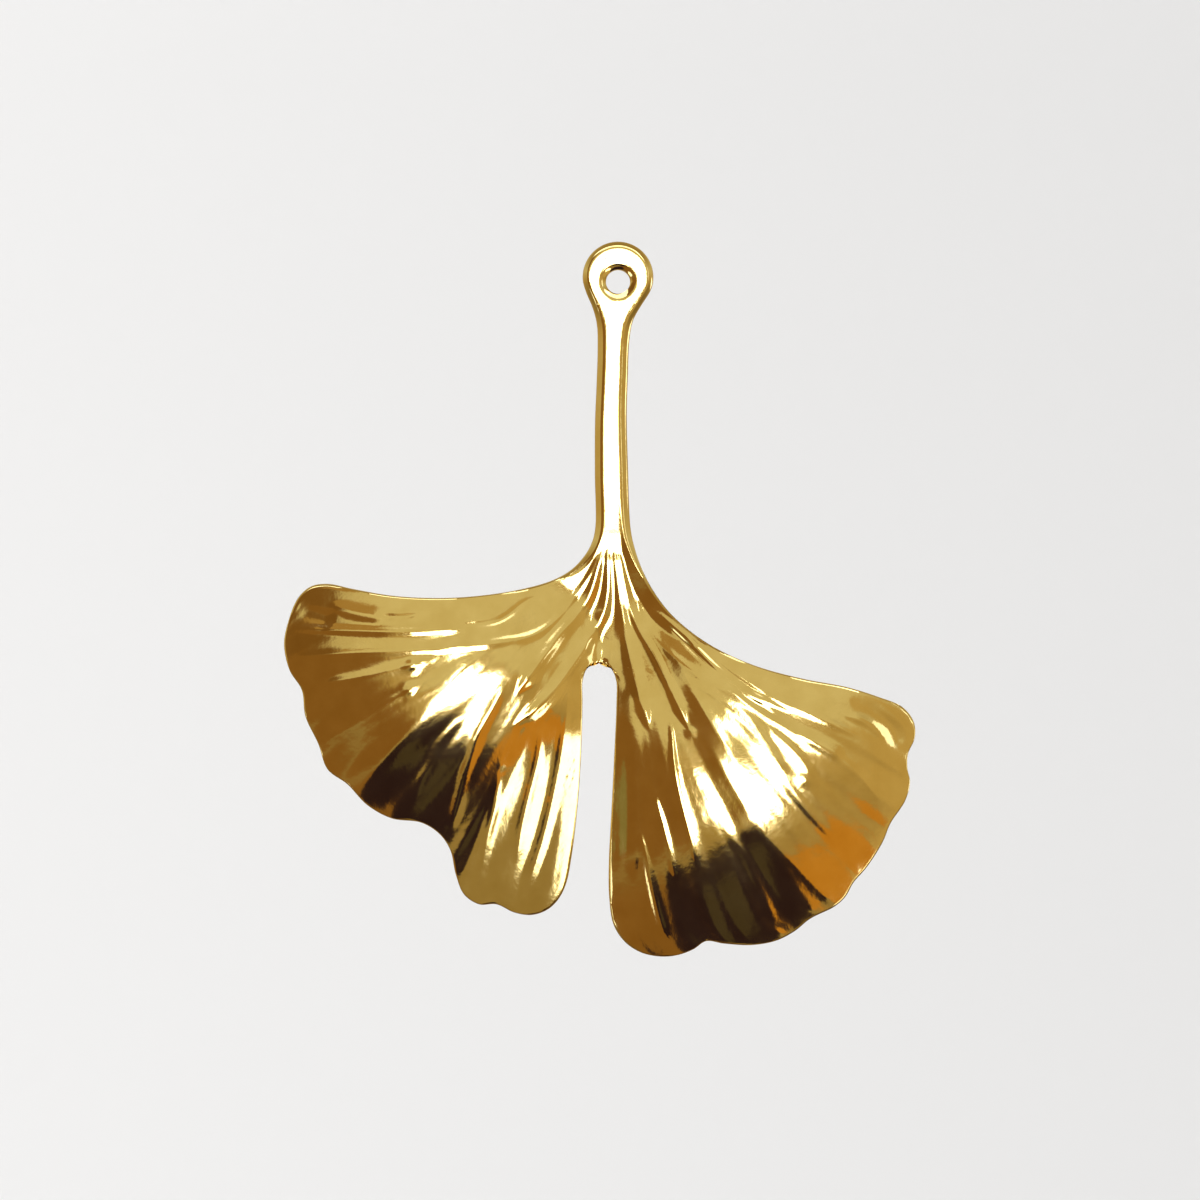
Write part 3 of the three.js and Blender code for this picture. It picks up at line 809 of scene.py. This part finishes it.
def card_glow(name, colour, strength, soft_share):
    """A glow that fades out towards the edges of a rectangle with round corners. The card's own coordinates
    run from -1 to 1."""
    material = bpy.data.materials.new(name)
    material.use_nodes = True
    nodes, links = material.node_tree.nodes, material.node_tree.links
    nodes.clear()
    coordinates = nodes.new("ShaderNodeTexCoord")
    scaled = nodes.new("ShaderNodeVectorMath")
    scaled.operation = "MULTIPLY_ADD"
    scaled.inputs[1].default_value = (2, 2, 0)
    scaled.inputs[2].default_value = (-1, -1, 0)
    links.new(coordinates.outputs["Generated"], scaled.inputs[0])
    split = nodes.new("ShaderNodeSeparateXYZ")
    links.new(scaled.outputs["Vector"], split.inputs["Vector"])
    powers = []
    for axis in "XY":
        power = nodes.new("ShaderNodeMath")
        power.operation = "POWER"
        power.inputs[1].default_value = CARD_CORNER_POWER
        absolute = nodes.new("ShaderNodeMath")
        absolute.operation = "ABSOLUTE"
        links.new(split.outputs[axis], absolute.inputs[0])
        links.new(absolute.outputs["Value"], power.inputs[0])
        powers.append(power)
    total = nodes.new("ShaderNodeMath")
    total.operation = "ADD"
    links.new(powers[0].outputs["Value"], total.inputs[0])
    links.new(powers[1].outputs["Value"], total.inputs[1])
    fade = nodes.new("ShaderNodeMapRange")
    fade.interpolation_type = "SMOOTHSTEP"
    fade.inputs["From Min"].default_value = (1 - soft_share) ** CARD_CORNER_POWER
    fade.inputs["From Max"].default_value = 1
    links.new(total.outputs["Value"], fade.inputs["Value"])
    glow = nodes.new("ShaderNodeEmission")
    glow.inputs["Color"].default_value = (*colour, 1)
    glow.inputs["Strength"].default_value = strength
    clear = nodes.new("ShaderNodeBsdfTransparent")
    mix = nodes.new("ShaderNodeMixShader")
    links.new(fade.outputs["Result"], mix.inputs["Fac"])
    links.new(glow.outputs["Emission"], mix.inputs[1])
    links.new(clear.outputs["BSDF"], mix.inputs[2])
    output = nodes.new("ShaderNodeOutputMaterial")
    links.new(mix.outputs["Shader"], output.inputs["Surface"])
    return material


def card(name, distance, direction, size, roll, colour, strength, soft_share):
    """A card at a distance from the leaf, facing it, seen only in reflections."""
    right, up = (math.radians(v) for v in direction)
    towards = Vector((math.sin(right) * math.cos(up), -math.cos(right) * math.cos(up), math.sin(up)))
    half = [distance * math.tan(math.radians(v) / 2) for v in size]
    mesh = bpy.data.meshes.new(name)
    corners = [(half[0] * x, half[1] * y, 0) for x, y in ((-1, -1), (1, -1), (1, 1), (-1, 1))]
    mesh.from_pydata(corners, [], [(0, 1, 2, 3)])
    mesh.materials.append(card_glow(name, colour, strength, soft_share))
    holder = bpy.data.objects.new(name, mesh)
    holder.location = LEAF_MIDDLE + towards * distance
    facing_back = (-towards).to_track_quat("Z", "Y")
    holder.rotation_euler = (facing_back @ Quaternion((0, 0, 1), math.radians(-roll))).to_euler()
    seen_only_in_metal(holder)
    bpy.context.collection.objects.link(holder)


def warm_room():
    """A round shell that only the polished metal sees, brown low down and pale overhead."""
    mesh = bpy.data.meshes.new("warm_room")
    shell = bmesh.new()
    bmesh.ops.create_icosphere(shell, subdivisions=4, radius=ROOM_RADIUS)
    shell.to_mesh(mesh)
    shell.free()
    material = bpy.data.materials.new("room_glow")
    material.use_nodes = True
    nodes, links = material.node_tree.nodes, material.node_tree.links
    nodes.clear()
    coordinates = nodes.new("ShaderNodeTexCoord")
    split = nodes.new("ShaderNodeSeparateXYZ")
    links.new(coordinates.outputs["Generated"], split.inputs["Vector"])
    ramp = nodes.new("ShaderNodeValToRGB")
    stops = ramp.color_ramp.elements
    while len(stops) < len(ROOM_GLOW):
        stops.new(0.5)
    for stop, (height, colour, strength) in zip(stops, ROOM_GLOW):
        stop.position = height
        stop.color = (*(strength * channel for channel in colour), 1)
    links.new(split.outputs["Z"], ramp.inputs["Fac"])
    glow = nodes.new("ShaderNodeEmission")
    links.new(ramp.outputs["Color"], glow.inputs["Color"])
    output = nodes.new("ShaderNodeOutputMaterial")
    links.new(glow.outputs["Emission"], output.inputs["Surface"])
    mesh.materials.append(material)
    holder = bpy.data.objects.new("warm_room", mesh)
    holder.location = LEAF_MIDDLE
    seen_only_in_metal(holder)
    bpy.context.collection.objects.link(holder)


def studio_light():
    """A white sky, and one soft lamp on the paper."""
    world = bpy.data.worlds.new("studio")
    world.use_nodes = True
    sky = world.node_tree.nodes["Background"]
    sky.inputs["Color"].default_value = (*WHITE, 1)
    sky.inputs["Strength"].default_value = SKY_STRENGTH
    bpy.context.scene.world = world
    lamp = bpy.data.lights.new("paper_light", "AREA")
    lamp.size = LAMP_SIZE
    lamp.energy = LAMP_POWER
    holder = bpy.data.objects.new("paper_light", lamp)
    holder.location = LAMP_PLACE
    aim = Vector(LAMP_AIMS_AT) - Vector(LAMP_PLACE)
    holder.rotation_euler = aim.to_track_quat("-Z", "Y").to_euler()
    holder.visible_glossy = False
    holder.visible_camera = False
    bpy.context.collection.objects.link(holder)
    bpy.context.scene.view_settings.view_transform = "Standard"


# ---- Build ---------------------------------------------------------------------------------------------

leaf = bpy.data.objects.new("ginkgo_leaf", charm_mesh())
leaf.data.materials.append(gold_plate())
bpy.context.collection.objects.link(leaf)
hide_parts("ginkgo_leaf_charm")
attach(leaf, "root")

camera()
pale_stage()
for place, (name, spec) in enumerate(CARDS.items()):
    card(name, NEAREST_CARD + place * CARD_SPACING, *spec)
warm_room()
studio_light()
